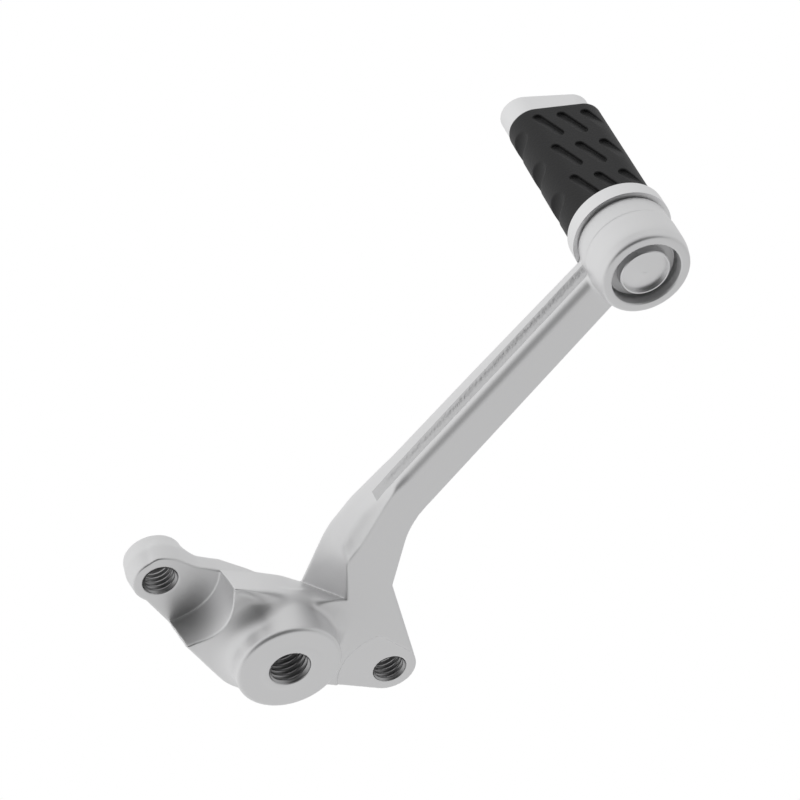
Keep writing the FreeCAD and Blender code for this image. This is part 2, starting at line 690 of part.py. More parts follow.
bodies = [make_lever(), make_peg(), make_rubber(), make_washer()]
doc.recompute()
for item in doc.Objects:
    if "Invalid" in item.State or "Error" in item.State:
        raise RuntimeError("%s failed: %s" % (item.Name, item.State))
os.makedirs("parts", exist_ok=True)
for body in bodies:
    if body.Shape.isNull() or not body.Shape.isValid():
        raise RuntimeError(body.Label + " has no valid shape")
for body in bodies:
    body.Shape.exportStep("parts/%s.step" % body.Label)
    print(body.Label, round(body.Shape.Volume), "mm3,", len(body.Shape.Faces), "faces,", len(body.Shape.Solids))
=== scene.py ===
"""Looks of the motorcycle gear shift lever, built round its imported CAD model."""

import math

import bpy
import numpy as np
from mathutils import Matrix, Vector


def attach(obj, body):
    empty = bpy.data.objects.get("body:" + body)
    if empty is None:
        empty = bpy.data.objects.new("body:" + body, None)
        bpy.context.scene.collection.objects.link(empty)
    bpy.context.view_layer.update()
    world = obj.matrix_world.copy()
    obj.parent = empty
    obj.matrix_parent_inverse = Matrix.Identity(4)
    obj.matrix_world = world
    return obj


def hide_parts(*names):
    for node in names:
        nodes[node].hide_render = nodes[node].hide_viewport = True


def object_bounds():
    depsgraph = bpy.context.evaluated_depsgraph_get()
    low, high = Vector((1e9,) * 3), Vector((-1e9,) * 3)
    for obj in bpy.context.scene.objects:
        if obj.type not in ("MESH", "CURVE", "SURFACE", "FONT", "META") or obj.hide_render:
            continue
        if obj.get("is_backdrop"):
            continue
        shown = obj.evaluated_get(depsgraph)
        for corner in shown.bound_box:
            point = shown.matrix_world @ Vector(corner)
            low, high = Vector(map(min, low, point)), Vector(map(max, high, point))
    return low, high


MM = 0.001

# the camera of the photograph, in the row frame
CAMERA_PLACE = Vector((0.2596824, -0.37286846, 0.35193859))
CAMERA_RIGHT = Vector((0.62534421, -0.30652035, -0.71762796))
CAMERA_UP = Vector((0.6941908, 0.63856144, 0.33217229))
CAMERA_BACK = Vector((0.35643198, -0.70589274, 0.6121043))
LENS = 117
SENSOR = 36

# light from all round, strongest from the left and weakest from where the camera stands
BRIGHT_WAY = (0.30 * CAMERA_UP - 0.95 * CAMERA_RIGHT).normalized()
SKY_LEVEL = 0.79
SKY_RISE = 0.15
SKY_HOLE = 0.06
HOLE_EDGE = 0.40
HOLE_CORE = 0.92

# the lever's places and sizes in millimetres: (x, z) of an axis or a corner, y of a face
ARM_FRONT = 8.0
ARM_BACK = 18.5
ARM_TAPER = 2.3
ARM_STRAIGHT = (46.0, 120.0)
ARM_LOWER_EDGE = -4.5
NOTCH_FRONT = (17.2, -6.1)
NOTCH_BACK = (10.8, -1.0)
HUB_RADIUS = 12.0
HUB_FLARE = 0.035
HUB_LEFT = -16.5
BOSS_BACK = 12.5
LEFT_LUG = (-2.0, 29.8)
LEFT_LUG_FACE = 17.5
LEFT_LUG_RADIUS = 6.1
LEFT_LUG_MIDDLE = 21.0
LEFT_LUG_HALF = 4.5
RIGHT_LUG = (3.5, -30.9)
RIGHT_LUG_FACE = 8.4
RIGHT_LUG_RADIUS = 6.4
SPOT_RADIUS = 13.4
SPOT_FLARE = 2.0
RIGHT_SPOT_RADIUS = 12.6
PEG_X = 120.0
SOCKET_SPAN = (2.0, 10.5)
SOCKET_RADIUS = 10.25
NECK_SPAN = (4.0, 15.2)
NECK_RADIUS = 10.0
COUNTERBORE_RADIUS = 7.55
COUNTERBORE_BACK = 5.6
BORE_RADIUS = 5.55
SHARP = 0.12

# the groove along the arm: its start and end, its walls' depths, and its upper edge at both ends of the arm
GROOVE_RUN = (40.0, 111.0)
GROOVE_DEPTH = (10.3, 14.4)
GROOVE_TOP = (5.95, 4.45)

# the scoop at the elbow: the middles (x, y, z) of the balls that cut it, and their radius
SCOOP_PATH = [(24.9, 5.6, 9.0), (29.4, 5.5, 9.3), (34.6, 5.5, 10.4), (40.4, 6.0, 12.0), (44.4, 7.0, 13.0)]
SCOOP_RADIUS = 8.0

# the threaded holes: axis, front face and back face, minor and major radius, pitch, radius at the face
HOLES = {
    "hub_thread": ((0.0, 0.0), (0.0, 18.5), 4.25, 5.0, 1.5, 4.75),
    "left_lug_thread": (LEFT_LUG, (LEFT_LUG_FACE, 25.5), 3.4, 4.0, 1.25, 3.9),
    "right_lug_thread": (RIGHT_LUG, (RIGHT_LUG_FACE, 18.5), 3.4, 4.0, 1.25, 3.9),
}
THREAD_SIDES = 72
THREAD_STEPS = 12

# the rubber sleeve, in the peg's own axes: x across its width, y along it, z through its thickness
PEG_TURN = 54.0
RUBBER_SPAN = (19.0, 55.8)
RUBBER_STRAIGHT = 5.35
RUBBER_RADIUS = 5.4
RUBBER_CORE = 3.0
SLOT_OFFSET = -0.4
SLOT_SPACING = 5.5
SLOT_PITCH = 11.2
SLOT_FIRST = 3.6
SLOT_DRIFT = 2.7
SLOT_RUN = 6.0
SLOT_LENGTH = math.hypot(SLOT_DRIFT, SLOT_RUN)
SLOT_STRAIGHT = 6.4
SLOT_RADIUS = 1.15
SLOT_DEPTH = 0.75
SIDE_NOTCH_FIRST = 6.5
SIDE_NOTCH_X = -12.4
SIDE_NOTCH_RADIUS = 3.0

LEVER_BOX = (np.array([-20.6, -1.2, -38.6]), np.array([131.6, 27.0, 38.4]))
LEVER_STEPS = (0.3, 0.5)
LEVER_TRIANGLES = 185000
RUBBER_BOX = (np.array([-11.6, 18.2, -6.2]), np.array([11.7, 56.6, 6.3]))
RUBBER_STEPS = (0.2, 0.3)
RUBBER_TRIANGLES = 150000


def node(tree, kind, place, **values):
    """A new shader node with its properties set."""
    made = tree.nodes.new(kind)
    made.location = place
    for name, value in values.items():
        setattr(made, name, value)
    return made


def material(name, color, metallic, rough, specular=0.5):
    """A new material, its node tree and its main shader."""
    made = bpy.data.materials.new(name)
    made.use_nodes = True
    tree = made.node_tree
    shader = tree.nodes["Principled BSDF"]
    shader.inputs["Base Color"].default_value = (*color, 1)
    shader.inputs["Metallic"].default_value = metallic
    shader.inputs["Roughness"].default_value = rough
    shader.inputs["Specular IOR Level"].default_value = specular
    return made, tree, shader


def grain(tree, shader, layers):
    """Bumps of noise, one after the other; a layer is (scale per metre, detail, height in mm)."""
    place = node(tree, "ShaderNodeTexCoord", (-1400, -400))
    normal = None
    for i, (scale, detail, height) in enumerate(layers):
        noise = node(tree, "ShaderNodeTexNoise", (-1100, -400 - 300 * i))
        noise.inputs["Scale"].default_value = scale
        noise.inputs["Detail"].default_value = detail
        tree.links.new(place.outputs["Object"], noise.inputs["Vector"])
        bump = node(tree, "ShaderNodeBump", (-800 + 250 * i, -400 - 300 * i))
        bump.inputs["Strength"].default_value = 1.0
        bump.inputs["Distance"].default_value = height * MM
        tree.links.new(noise.outputs["Fac"], bump.inputs["Height"])
        if normal is not None:
            tree.links.new(normal, bump.inputs["Normal"])
        normal = bump.outputs["Normal"]
    tree.links.new(normal, shader.inputs["Normal"])


def blasted():
    made, tree, shader = material("blasted_aluminium", (0.80, 0.80, 0.805), 0.75, 0.40)
    grain(tree, shader, [(2600, 2, 0.012)])
    return made


def machined():
    made, tree, shader = material("machined_aluminium", (0.76, 0.76, 0.765), 1.0, 0.40)
    grain(tree, shader, [(3200, 2, 0.008)])
    return made


def as_cast():
    made, tree, shader = material("groove_aluminium", (0.62, 0.62, 0.625), 1.0, 0.5)
    grain(tree, shader, [(1400, 4, 0.20), (3500, 2, 0.06)])
    return made


def turned():
    made, tree, shader = material("turned_aluminium", (0.80, 0.80, 0.805), 1.0, 0.36)
    grain(tree, shader, [(2600, 2, 0.008)])
    return made


def rubber():
    made, tree, shader = material("black_rubber", (0.020, 0.020, 0.021), 0.0, 0.6, 0.42)
    grain(tree, shader, [(2300, 3, 0.07)])
    return made


# the threads' colour is darker than the machined aluminium's: painted shade inside the threaded holes
def thread_painted_shade():
    made, tree, shader = material("thread_painted_shade", (0.46, 0.46, 0.465), 1.0, 0.36)
    grain(tree, shader, [(2600, 2, 0.008)])
    return made


def steel():
    made, tree, shader = material("washer_steel", (0.5, 0.5, 0.505), 1.0, 0.4)
    grain(tree, shader, [(2600, 2, 0.008)])
    return made


def give(obj, *materials):
    """obj has these materials and no others."""
    obj.data.materials.clear()
    for made in materials:
        obj.data.materials.append(made)


def mesh_object(name, points, faces):
    """A smooth-shaded mesh object from points in millimetres."""
    data = bpy.data.meshes.new(name)
    data.from_pydata([tuple(p) for p in np.asarray(points) * MM], [], faces)
    data.update()
    data.shade_smooth()
    made = bpy.data.objects.new(name, data)
    bpy.context.scene.collection.objects.link(made)
    return made


def thread_tube(name, axis, span, minor, major, pitch, mouth):
    """The inner surface of a threaded hole: a helix of ridges between its two faces."""
    front, back = span
    count = int(round((back - front) / pitch * THREAD_STEPS))
    levels = np.linspace(front, back, count + 1)
    angles = np.linspace(0, 2 * math.pi, THREAD_SIDES, endpoint=False)
    level, angle = np.meshgrid(levels, angles, indexing="ij")
    phase = ((level - front) / pitch - angle / (2 * math.pi)) % 1.0
    slope = np.clip((np.abs(phase - 0.5) * 2 - 0.125) / (1 - 0.125 - 0.25), 0, 1)
    radius = major - (major - minor) * slope
    depth = np.minimum(level - front, back - level)
    radius = np.maximum(radius, mouth - depth)
    radius = np.minimum(radius, mouth + depth)
    x = axis[0] + radius * np.cos(angle)
    z = axis[1] + radius * np.sin(angle)
    points = np.stack([x, level, z], axis=-1).reshape(-1, 3)
    faces = []
    for i in range(count):
        for j in range(THREAD_SIDES):
            k = (j + 1) % THREAD_SIDES
            a, b = i * THREAD_SIDES + j, i * THREAD_SIDES + k
            faces.append((a, b, b + THREAD_SIDES, a + THREAD_SIDES))
    return mesh_object(name, points, faces)


def arc_between(start, end, radius, side, steps=16):
    """Points on the arc of a radius from start to end, its bulge on one side: 1 left, -1 right."""
    (x0, z0), (x1, z1) = start, end
    mx, mz = (x0 + x1) / 2, (z0 + z1) / 2
    dx, dz = x1 - x0, z1 - z0
    chord = math.hypot(dx, dz)
    away = math.sqrt(max(radius * radius - chord * chord / 4, 0))
    cx, cz = mx + side * away * dz / chord, mz - side * away * dx / chord
    first = math.atan2(z0 - cz, x0 - cx)
    turn = math.atan2(z1 - cz, x1 - cx) - first
    turn = (turn + math.pi) % (2 * math.pi) - math.pi
    angles = [first + turn * i / steps for i in range(steps + 1)]
    return [(cx + radius * math.cos(angle), cz + radius * math.sin(angle)) for angle in angles]


def rounded_outline(corners):
    """A closed outline from corners (x, z) or (x, z, radius of the rounding there)."""
    points = []
    count = len(corners)
    for i, corner in enumerate(corners):
        if len(corner) == 2:
            points.append(corner)
            continue
        here = Vector(corner[:2])
        back = (Vector(corners[i - 1][:2]) - here).normalized()
        ahead = (Vector(corners[(i + 1) % count][:2]) - here).normalized()
        half = back.angle(ahead) / 2
        reach = corner[2] / math.tan(half)
        start, end = here + back * reach, here + ahead * reach
        side = 1 if back.x * ahead.y - back.y * ahead.x > 0 else -1
        points += arc_between(tuple(start), tuple(end), corner[2], side)
    return points


def outline_distance(points, x, z):
    """Distance to a closed outline for each (x, z), negative inside."""
    near = np.full(np.broadcast(x, z).shape, 1e9, dtype=np.float32)
    inside = np.zeros(near.shape, dtype=bool)
    for (x0, z0), (x1, z1) in zip(points, points[1:] + points[:1]):
        ex, ez = x1 - x0, z1 - z0
        px, pz = x - x0, z - z0
        along = np.clip((px * ex + pz * ez) / max(ex * ex + ez * ez, 1e-12), 0, 1)
        near = np.minimum(near, (px - along * ex) ** 2 + (pz - along * ez) ** 2)
        if z0 != z1:
            crossing = ((z0 <= z) != (z1 <= z)) & (px < pz * ex / ez)
            inside ^= crossing
    return np.where(inside, -1, 1) * np.sqrt(near)


def join(a, b, radius):
    """Both solids, with a fillet of this radius between them."""
    u, v = np.maximum(radius - a, 0), np.maximum(radius - b, 0)
    return np.maximum(radius, np.minimum(a, b)) - np.sqrt(u * u + v * v)


def overlap(a, b, radius):
    """What is in both, with its new edge rounded by this radius."""
    u, v = np.maximum(radius + a, 0), np.maximum(radius + b, 0)
    return np.minimum(-radius, np.maximum(a, b)) + np.sqrt(u * u + v * v)


def ease(value, low, high):
    """0 below low, 1 above high, smooth between."""
    t = np.clip((value - low) / (high - low), 0, 1)
    return t * t * (3 - 2 * t)


def reach_from(axis, x, z):
    """Distance from an axis along y, given as (x, z)."""
    return np.sqrt((x - axis[0]) ** 2 + (z - axis[1]) ** 2)


def part_way(value, start, end):
    """0 at start, 1 at end, straight between."""
    return np.clip((value - start) / (end - start), 0, 1)


def slab(y, start, end):
    """Distance to the space between two planes across y."""
    return np.abs(y - (start + end) / 2) - (end - start) / 2


def lofted(front, back, run, x, z):
    """Distance to an outline that goes from front to back corners with run, for each run along y."""

    def outline(s):
        return rounded_outline([
            (a[0] + (b[0] - a[0]) * s, a[1] + (b[1] - a[1]) * s, *a[2:]) for a, b in zip(front, back)])

    levels = np.linspace(float(run.min()), float(run.max()) + 0.001, 12)
    layers = [outline_distance(outline(level), x, z)[:, 0, :] for level in levels]
    layers = np.stack(layers).astype(np.float32)
    place = (run.ravel() - levels[0]) / (levels[1] - levels[0])
    base = np.clip(np.floor(place).astype(int), 0, len(levels) - 2)
    part = (place - base).astype(np.float32)[:, None, None]
    return (layers[base] * (1 - part) + layers[base + 1] * part).transpose(1, 0, 2)


def arm_corners(end, upper, elbow, root, notch, inner):
    """The arm's outline with the hub and the right lug; only the corners given change with depth."""
    right_lug = arc_between((-2.64, -32.7), (8.62, -34.74), RIGHT_LUG_RADIUS, -1)
    hub = [(-6.0, 0.0), (-10.8, -3.6), (-7.4, -15.6)]
    lower = [(24.7, -13.3, 1.5), (41.1, ARM_LOWER_EDGE, 22.0), (PEG_X, ARM_LOWER_EDGE)]
    return [end, (78.0, 5.25), upper, elbow, root, notch, inner] + hub + right_lug + lower


def bar_corners(notch, lug, left, low, side):
    """The bar's outline from the hub to the left lug, which has this radius."""
    x, z = LEFT_LUG
    hub = [(left, 0.0, 12.0), (-7.2, -16.2), (0.0, -12.0), (low, -12.0)]
    eye = [(x + lug, 27.0, 3.0), (x + lug * 0.7, z + lug * 0.72, 2.0), (x, z + lug, 3.0),
           (x - lug * 0.9, z + 0.2 * lug)]
    return hub + [notch] + side + eye


def front_face(x, z):
    """Depth of the lever's front face: sunk beside the boss, with a ramp to it on its right."""
    hub_reach = reach_from((0.0, 0.0), x, z)
    ridge = outline_distance([NOTCH_FRONT, (9.4, 0.6), (9.9, 4.0), (10.7, 8.4), (10.9, 11.7), (10.8, 14.8),
                              (10.0, 20.4), (9.0, 26.0), (-30.0, 26.0), (-30.0, -6.1)], x, z)
    sunk = ease(-ridge, 0.2, 3.0) * (1.6 * ease(hub_reach, 13.5, 20.0) - 0.2)
    sunk = sunk * ease(z - 0.6 * x, -4.0, 3.0)
    foot = HUB_RADIUS + 3.4 * ease(x, 2.0, 10.0) * ease(4.0 - z, 0.0, 14.0)
    slope = np.clip(foot - hub_reach, -6.0, 6.0)
    return ARM_FRONT + sunk - 0.5 * np.logaddexp(0.0, slope * 1.6)


def arm_and_bar(x, y, z):
    """The bent arm and the bar of the left lug, with the notch between them."""
    front = front_face(x, z)
    run = np.clip((y - ARM_FRONT) / (ARM_BACK - ARM_FRONT), -0.3, 1.0)
    front_corners = arm_corners((PEG_X, 4.4), (46.0, 5.9, 40.0), (38.0, 4.4, 12.0), (26.5, 2.2, 10.0),
                                NOTCH_FRONT, (6.0, -4.0))
    back_corners = arm_corners((PEG_X, 5.0), (50.0, 5.2, 40.0), (35.5, 6.3, 12.0), (27.5, 4.6, 10.0),
                               NOTCH_BACK, (6.0, -1.0))
    side = lofted(front_corners, back_corners, run, x, z)
    back = ARM_BACK - ARM_TAPER * part_way(x, *ARM_STRAIGHT)
    upper = ease(z, 0.0, 2.0)
    arm = overlap(side, front - y, 0.35 + 1.75 * ease(x, 42.0, 52.0) * upper)
    arm = overlap(arm, y - back, 0.6 + 2.6 * ease(x, 22.0, 38.0) * upper)

    front_side = [(11.6, 4.6, 12.0), (10.9, 12.5, 20.0), (9.4, 19.4, 10.0)]
    back_side = [(10.4, 4.6, 12.0), (8.4, 12.5, 20.0), (5.9, 19.4, 10.0)]
    side = lofted(bar_corners(NOTCH_FRONT, 4.7, HUB_LEFT, 14.0, front_side),
                  bar_corners(NOTCH_BACK, LEFT_LUG_RADIUS, HUB_LEFT - 2.5, 8.0, back_side),
                  part_way(y, ARM_FRONT, LEFT_LUG_FACE), x, z)
    rounding = 0.5 + 2.5 * ease(z, -4.0, 4.0) * ease(20.0 - z, 0.0, 12.0) * ease(x, 0.0, 5.0)
    bar = overlap(side, (front - y) * 0.95, rounding)
    thicker = 3.5 * part_way(z, 10.7, 18.5)
    bar = overlap(bar, (y - ARM_BACK - thicker) * 0.92, 1.0)
    return join(arm, bar, 0.15)


def boss(x, y, z):
    """The hub's boss, a little wider towards the back."""
    made = overlap(reach_from((0.0, 0.0), x, z) - HUB_RADIUS - HUB_FLARE * y, -y, 0.9)
    return overlap(made, y - BOSS_BACK, 0.6)


def left_lug(x, y, z):
    """The eye of the left lug, widest at its middle."""
    wall = LEFT_LUG_RADIUS + 0.75 * part_way(y, 17.5, 21.5) - 0.25 * part_way(y, 21.5, 25.5)
    return overlap(reach_from(LEFT_LUG, x, z) - wall, np.abs(y - LEFT_LUG_MIDDLE) - LEFT_LUG_HALF, 0.7)


def socket(x, y, z):
    """The socket of the peg with its narrowed mouth, and the neck behind it."""
    reach = reach_from((PEG_X, 0.0), x, z)
    wall = SOCKET_RADIUS - 0.65 * part_way(y, 6.0, SOCKET_SPAN[0]) ** 2
    made = overlap(reach - wall, slab(y, *SOCKET_SPAN), 0.45)
    return join(made, overlap(reach - NECK_RADIUS, slab(y, *NECK_SPAN), 0.3), 0.3)


def groove_top(x):
    """Height of the groove's upper edge."""
    return GROOVE_TOP[0] + (GROOVE_TOP[1] - GROOVE_TOP[0]) * part_way(x, *ARM_STRAIGHT)


def groove(x, y, z):
    """What is cut from the arm's upper side."""
    front, back = GROOVE_DEPTH
    start, end = GROOVE_RUN
    floor = groove_top(x) + 0.15 - 0.8 * ease(back - 0.8 - y, 0.0, 1.8) * ease(x, start, start + 7.0)
    cut = overlap(front - y, (floor - z) * 0.95, 0.25)
    return np.maximum(cut, np.maximum(y - back, np.maximum(start - x, x - end)))


def scoop(x, y, z):
    """What is cut from the elbow: a ball run along a path."""
    cut = None
    for start, end in zip(SCOOP_PATH, SCOOP_PATH[1:]):
        d = [end[i] - start[i] for i in range(3)]
        t = ((x - start[0]) * d[0] + (y - start[1]) * d[1] + (z - start[2]) * d[2]) / sum(v * v for v in d)
        t = np.clip(t, 0, 1)
        part = np.sqrt((x - start[0] - t * d[0]) ** 2 + (y - start[1] - t * d[1]) ** 2
                       + (z - start[2] - t * d[2]) ** 2) - SCOOP_RADIUS
        cut = part if cut is None else np.minimum(cut, part)
    return cut


def left_spot_wall(y):
    """Radius of the wall round the left lug's spot face."""
    return SPOT_RADIUS + SPOT_FLARE * (LEFT_LUG_FACE - y) / LEFT_LUG_FACE


def machined_cuts(x, y, z):
    """What the machining takes off: the socket's bores, the two spot faces and the holes."""
    reach = reach_from((PEG_X, 0.0), x, z)
    yield np.maximum(reach - COUNTERBORE_RADIUS, y - COUNTERBORE_BACK)
    yield reach - BORE_RADIUS
    yield np.maximum(reach_from(LEFT_LUG, x, z) - left_spot_wall(y), y - LEFT_LUG_FACE)
    left_end = RIGHT_LUG[0] - RIGHT_SPOT_RADIUS
    edge = arc_between((left_end, RIGHT_LUG[1]), (11.2, -20.93), RIGHT_SPOT_RADIUS, 1)
    yield np.maximum(outline_distance(edge + [(8.6, -46.0), (left_end, -46.0)], x, z), y - RIGHT_LUG_FACE)
    for axis, span, minor, major, pitch, mouth in HOLES.values():
        yield reach_from(axis, x, z) - mouth


def lever_field(x, y, z):
    """Roughly the distance to the lever's surface, negative inside; x, y, z are broadcast axes."""
    body = join(arm_and_bar(x, y, z), boss(x, y, z), 1.0 + 2.8 * ease(11.0 - x, 0.0, 5.0))
    body = join(body, left_lug(x, y, z), 0.3 + 2.4 * ease(x, 0.0, 4.0))
    body = join(body, socket(x, y, z), 0.9)
    body = overlap(body, -groove(x, y, z), 0.25)
    body = overlap(body, -scoop(x, y, z), 0.3)
    for cut in machined_cuts(x, y, z):
        body = overlap(body, -cut, SHARP)
    return body


def lever_finishes(x, y, z):
    """For each place: 0 where it is blasted, 1 where it was machined, 2 where it is rough as forged."""
    near = 0.12
    lug_reach = reach_from(LEFT_LUG, x, z)
    wall = (np.abs(lug_reach - left_spot_wall(y)) < near) & (y < LEFT_LUG_FACE) & (z > 12.0)
    machined = (y < near) | wall
    machined |= (lug_reach < SPOT_RADIUS + 0.1) & (np.abs(y - LEFT_LUG_FACE) < near)
    machined |= (reach_from(RIGHT_LUG, x, z) < RIGHT_SPOT_RADIUS) & (np.abs(y - RIGHT_LUG_FACE) < 0.1)
    machined |= (x > PEG_X - 11.0) & (np.abs(y - SOCKET_SPAN[0]) < near)
    rough = (x > GROOVE_RUN[0] + 1.5) & (x < GROOVE_RUN[1]) & (z > 2.0) & (z < groove_top(x) + near)
    rough &= (y > GROOVE_DEPTH[0] + 0.1) & (y < 13.3)
    return np.where(rough, 2, np.where(machined, 1, 0)).astype(np.int32)


def oval(x, z, radius):
    """Distance to the peg's oval of this half thickness."""
    return np.hypot(np.maximum(np.abs(x) - RUBBER_STRAIGHT, 0), z) - radius


def rubber_field(x, y, z):
    """Roughly the distance to the sleeve's surface, in the peg's own axes."""
    sleeve = overlap(oval(x, z, RUBBER_RADIUS), slab(y, *RUBBER_SPAN), 0.45)
    side = np.where(z > 0, x, -x)
    end = RUBBER_SPAN[1]
    for row in range(3):
        for column in (-1, 0, 1):
            px = side - (SLOT_OFFSET + SLOT_SPACING * column)
            py = y - (end - SLOT_FIRST - SLOT_PITCH * row)
            along = (px * SLOT_DRIFT - py * SLOT_RUN) / SLOT_LENGTH
            across = (px * SLOT_RUN + py * SLOT_DRIFT) / SLOT_LENGTH
            slot = np.hypot(along - np.clip(along, 0.0, SLOT_STRAIGHT), across) - SLOT_RADIUS
            head = 0.9 * ease(along, 4.0, -0.5)
            depth = SLOT_DEPTH * np.clip((across + 1.3 + head) / 2.4, 0.0, 1.0)
            floor = (RUBBER_RADIUS - depth - np.abs(z)) * 0.85
            sleeve = overlap(sleeve, -np.maximum(slot, floor), 0.08)
    for row in range(3):
        level = end - SIDE_NOTCH_FIRST - SLOT_PITCH * row
        sleeve = overlap(sleeve, SIDE_NOTCH_RADIUS - np.hypot(x - SIDE_NOTCH_X, y - level), 0.1)
    return np.maximum(sleeve, -oval(x, z, RUBBER_CORE))


def sample(grid, low, step, points):
    """The grid's value at each point, between its eight neighbours."""
    place = (points - low) / step
    base = np.clip(np.floor(place).astype(np.int64), 0, np.array(grid.shape) - 2)
    part = (place - base).astype(np.float32)
    total = np.zeros(len(points), dtype=np.float32)
    for corner in range(8):
        pick = np.array([corner >> 2 & 1, corner >> 1 & 1, corner & 1])
        weight = np.prod(np.where(pick, part, 1 - part), axis=1)
        i, j, k = (base + pick).T
        total += weight * grid[i, j, k]
    return total


def skin(grid, low, step):
    """Points and four-sided faces of the surface where the grid's value is zero, pulled onto it."""
    inside = grid < 0
    shape = np.array(grid.shape) - 1
    corners = [(i, j, k) for i in (0, 1) for j in (0, 1) for k in (0, 1)]
    count = np.zeros(shape, dtype=np.int8)
    for i, j, k in corners:
        count += inside[i:shape[0] + i, j:shape[1] + j, k:shape[2] + k]
    cells = np.argwhere((count > 0) & (count < 8))
    number = np.full(shape, -1, dtype=np.int64)
    number[tuple(cells.T)] = np.arange(len(cells))
    total = np.zeros((len(cells), 3))
    hits = np.zeros(len(cells))
    for a in corners:
        for axis in range(3):
            if a[axis]:
                continue
            b = list(a)
            b[axis] = 1
            first = grid[tuple((cells + a).T)]
            second = grid[tuple((cells + b).T)]
            cut = (first < 0) != (second < 0)
            t = np.where(cut, first / np.where(cut, first - second, 1), 0)
            place = np.array(a, dtype=float) + np.zeros((len(cells), 3))
            place[:, axis] += t
            total += place * cut[:, None]
            hits += cut
    points = low + step * (cells + total / hits[:, None])
    slopes = np.gradient(grid, step)
    for turn in range(3):
        value = sample(grid, low, step, points)
        normal = np.stack([sample(slope, low, step, points) for slope in slopes], axis=1)
        size = np.maximum((normal * normal).sum(axis=1), 0.1)
        points = points - normal * np.clip(value / size, -0.5 * step, 0.5 * step)[:, None]
    faces = []
    for axis in range(3):
        u, v = [i for i in range(3) if i != axis]
        low_side = [slice(1, -1)] * 3
        high_side = [slice(1, -1)] * 3
        low_side[axis] = slice(0, -1)
        high_side[axis] = slice(1, None)
        change = inside[tuple(low_side)].astype(np.int8) - inside[tuple(high_side)]
        edges = np.argwhere(change != 0)
        sign = change[tuple(edges.T)]
        edges = edges + [0 if i == axis else 1 for i in range(3)]
        ring = []
        for du, dv in ((-1, -1), (0, -1), (0, 0), (-1, 0)):
            cell = edges.copy()
            cell[:, u] += du
            cell[:, v] += dv
            ring.append(number[tuple(cell.T)])
        quads = np.stack(ring, axis=1)
        flip = (sign > 0) == (axis == 1)
        quads[flip] = quads[flip][:, ::-1]
        faces.append(quads)
    return points, np.concatenate(faces), slopes


def hole_walls(points):
    """Which points lie on the plain wall of a threaded hole, where the thread stands."""
    found = np.zeros(len(points), dtype=bool)
    for axis, (front, back), minor, major, pitch, mouth in HOLES.values():
        reach = reach_from(axis, points[:, 0], points[:, 2])
        found |= (reach < mouth + 0.1) & (points[:, 1] > front + 0.05) & (points[:, 1] < back - 0.05)
    return found


def vertex_places(mesh):
    """The places of a mesh's vertices in millimetres."""
    flat = np.empty(len(mesh.vertices) * 3)
    mesh.vertices.foreach_get("co", flat)
    return flat.reshape(-1, 3) / MM


def triangle_middles(mesh, places):
    """The middle of each triangle, as three rows x, y, z."""
    corners = np.empty(len(mesh.loops), dtype=np.int64)
    mesh.loops.foreach_get("vertex_index", corners)
    starts = np.empty(len(mesh.polygons), dtype=np.int64)
    mesh.polygons.foreach_get("loop_start", starts)
    return np.stack([places[corners[starts + i]] for i in range(3)]).mean(axis=0).T


def finished(name, field, box, step, most, materials, left_out=None, finishes=None):
    """A field's solid as a mesh of at most this many triangles, with normals from the field's slopes."""
    low, high = box
    axes = [np.arange(a, b, step, dtype=np.float32) for a, b in zip(low, high)]
    x, y, z = axes
    grid = field(x[:, None, None], y[None, :, None], z[None, None, :]).astype(np.float32)
    points, quads, slopes = skin(grid, low, step)
    if left_out is not None:
        quads = quads[~left_out(points)[quads].all(axis=1)]
    made = mesh_object(name, points, [tuple(q) for q in quads.tolist()])
    decimate = made.modifiers.new("fewer", "DECIMATE")
    decimate.ratio = min(1.0, most / (2 * len(quads)))
    depsgraph = bpy.context.evaluated_depsgraph_get()
    fewer = bpy.data.meshes.new_from_object(made.evaluated_get(depsgraph))
    made.modifiers.clear()
    made.data = fewer
    made.data.name = name
    places = vertex_places(fewer)
    normals = np.stack([sample(slope, low, step, places) for slope in slopes], axis=1)
    normals /= np.maximum(np.linalg.norm(normals, axis=1), 1e-6)[:, None]
    fewer.shade_smooth()
    give(made, *materials)
    if finishes is not None:
        fewer.polygons.foreach_set("material_index", finishes(*triangle_middles(fewer, places)))
    fewer.normals_split_custom_set_from_vertices(normals.tolist())
    return made


def sky():
    """The light from all round."""
    world = bpy.data.worlds.new("soft_light")
    bpy.context.scene.world = world
    world.use_nodes = True
    tree = world.node_tree
    background = tree.nodes["Background"]
    background.inputs["Color"].default_value = (1, 1, 1, 1)
    place = node(tree, "ShaderNodeTexCoord", (-1200, 0))

    def along(direction, y):
        made = node(tree, "ShaderNodeVectorMath", (-1000, y), operation="DOT_PRODUCT")
        made.inputs[1].default_value = direction
        tree.links.new(place.outputs["Generated"], made.inputs[0])
        return made.outputs["Value"]

    def combine(operation, first, second, at):
        made = node(tree, "ShaderNodeMath", at, operation=operation)
        for socket, value in zip(made.inputs, (first, second)):
            if isinstance(value, (int, float)):
                socket.default_value = value
            else:
                tree.links.new(value, socket)
        return made.outputs[0]

    rise = combine("MULTIPLY", along(BRIGHT_WAY, 200), SKY_RISE, (-600, 200))
    level = combine("ADD", rise, SKY_LEVEL, (-400, 100))
    hole = node(tree, "ShaderNodeMapRange", (-800, -250), interpolation_type="SMOOTHSTEP")
    hole.inputs["From Min"].default_value = HOLE_EDGE
    hole.inputs["From Max"].default_value = HOLE_CORE
    hole.inputs["To Min"].default_value = 1.0
    hole.inputs["To Max"].default_value = SKY_HOLE
    tree.links.new(along(CAMERA_BACK, -250), hole.inputs["Value"])
    total = combine("MULTIPLY", level, hole.outputs["Result"], (-200, 0))
    tree.links.new(total, background.inputs["Strength"])


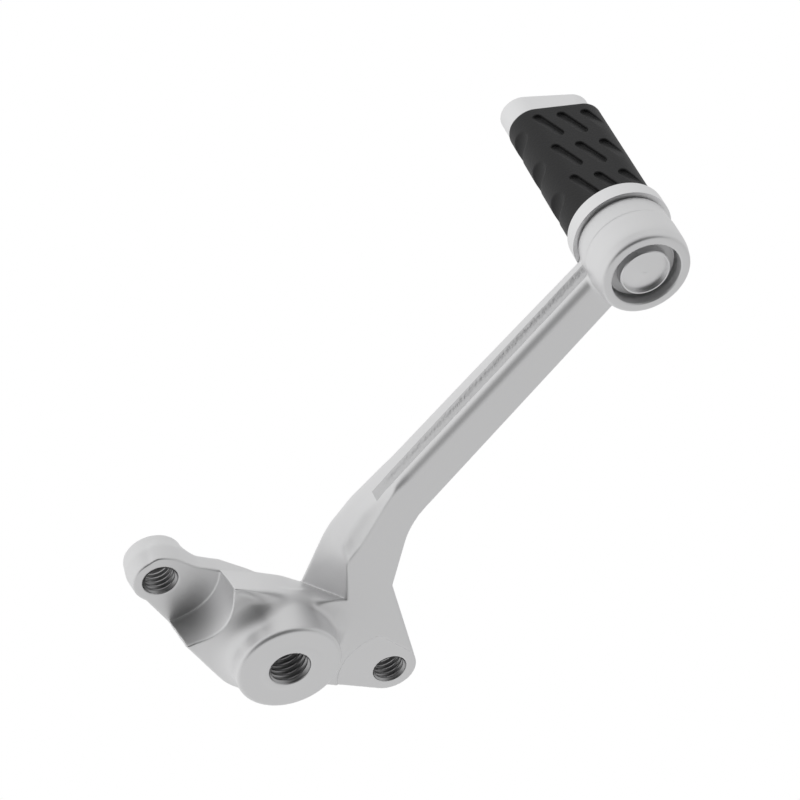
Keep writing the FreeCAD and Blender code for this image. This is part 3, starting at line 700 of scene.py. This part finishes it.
def backdrop():
    """A white floor and a white backdrop, which only the camera sees."""
    white = bpy.data.materials.new("white_paper")
    white.use_nodes = True
    tree = white.node_tree
    tree.nodes.remove(tree.nodes["Principled BSDF"])
    glow = node(tree, "ShaderNodeEmission", (0, 0))
    glow.inputs["Color"].default_value = (1, 1, 1, 1)
    glow.inputs["Strength"].default_value = 1.0
    tree.links.new(glow.outputs[0], tree.nodes["Material Output"].inputs["Surface"])
    bpy.ops.mesh.primitive_plane_add(size=24, location=(0, 0, -1.2))
    floor = bpy.context.object
    floor.name = "floor"
    bpy.ops.mesh.primitive_uv_sphere_add(segments=48, ring_count=24, radius=11, location=(0, 0, 0))
    dome = bpy.context.object
    dome.name = "backdrop"
    for obj in (floor, dome):
        give(obj, white)
        obj.visible_diffuse = False
        obj.visible_glossy = False
        obj.visible_transmission = False
        obj.visible_volume_scatter = False
        obj.visible_shadow = False
        obj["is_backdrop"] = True


def camera():
    data = bpy.data.cameras.new("camera")
    data.lens = LENS
    data.sensor_width = SENSOR
    data.sensor_fit = "HORIZONTAL"
    data.clip_start = 0.01
    data.clip_end = 60
    made = bpy.data.objects.new("camera", data)
    bpy.context.scene.collection.objects.link(made)
    turn = Matrix((CAMERA_RIGHT, CAMERA_UP, CAMERA_BACK)).transposed()
    made.matrix_world = Matrix.Translation(CAMERA_PLACE) @ turn.to_4x4()
    bpy.context.scene.camera = made


def corners():
    return [list(corner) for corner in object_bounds()]


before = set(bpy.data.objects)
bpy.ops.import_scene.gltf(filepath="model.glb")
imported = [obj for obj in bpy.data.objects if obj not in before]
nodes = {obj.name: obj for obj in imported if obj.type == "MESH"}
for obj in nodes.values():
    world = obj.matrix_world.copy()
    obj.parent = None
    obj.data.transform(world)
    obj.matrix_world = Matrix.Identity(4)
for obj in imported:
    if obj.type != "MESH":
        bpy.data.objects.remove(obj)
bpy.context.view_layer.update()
scene = bpy.context.scene
scene.view_settings.view_transform = "Standard"

quick = 0
lever = finished("lever_finished", lever_field, LEVER_BOX, LEVER_STEPS[quick], LEVER_TRIANGLES,
                 (blasted(), machined(), as_cast()), hole_walls, lever_finishes)
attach(lever, "root")
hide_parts("lever_body")
# the threads get the darker colour, which is painted shade inside the holes
thread_shade_material = thread_painted_shade()
for name, values in HOLES.items():
    tube = thread_tube(name, *values)
    give(tube, thread_shade_material)
    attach(tube, "root")

give(nodes["toe_peg"], turned())
sleeve = finished("rubber_finished", rubber_field, RUBBER_BOX, RUBBER_STEPS[quick], RUBBER_TRIANGLES,
                  (rubber(),))
turn = Matrix.Rotation(math.radians(PEG_TURN), 4, "Y")
sleeve.data.transform(Matrix.Translation((PEG_X * MM, 0, 0)) @ turn)
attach(sleeve, "root")
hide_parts("peg_rubber")
give(nodes["retaining_washer"], steel())

sky()
backdrop()
camera()
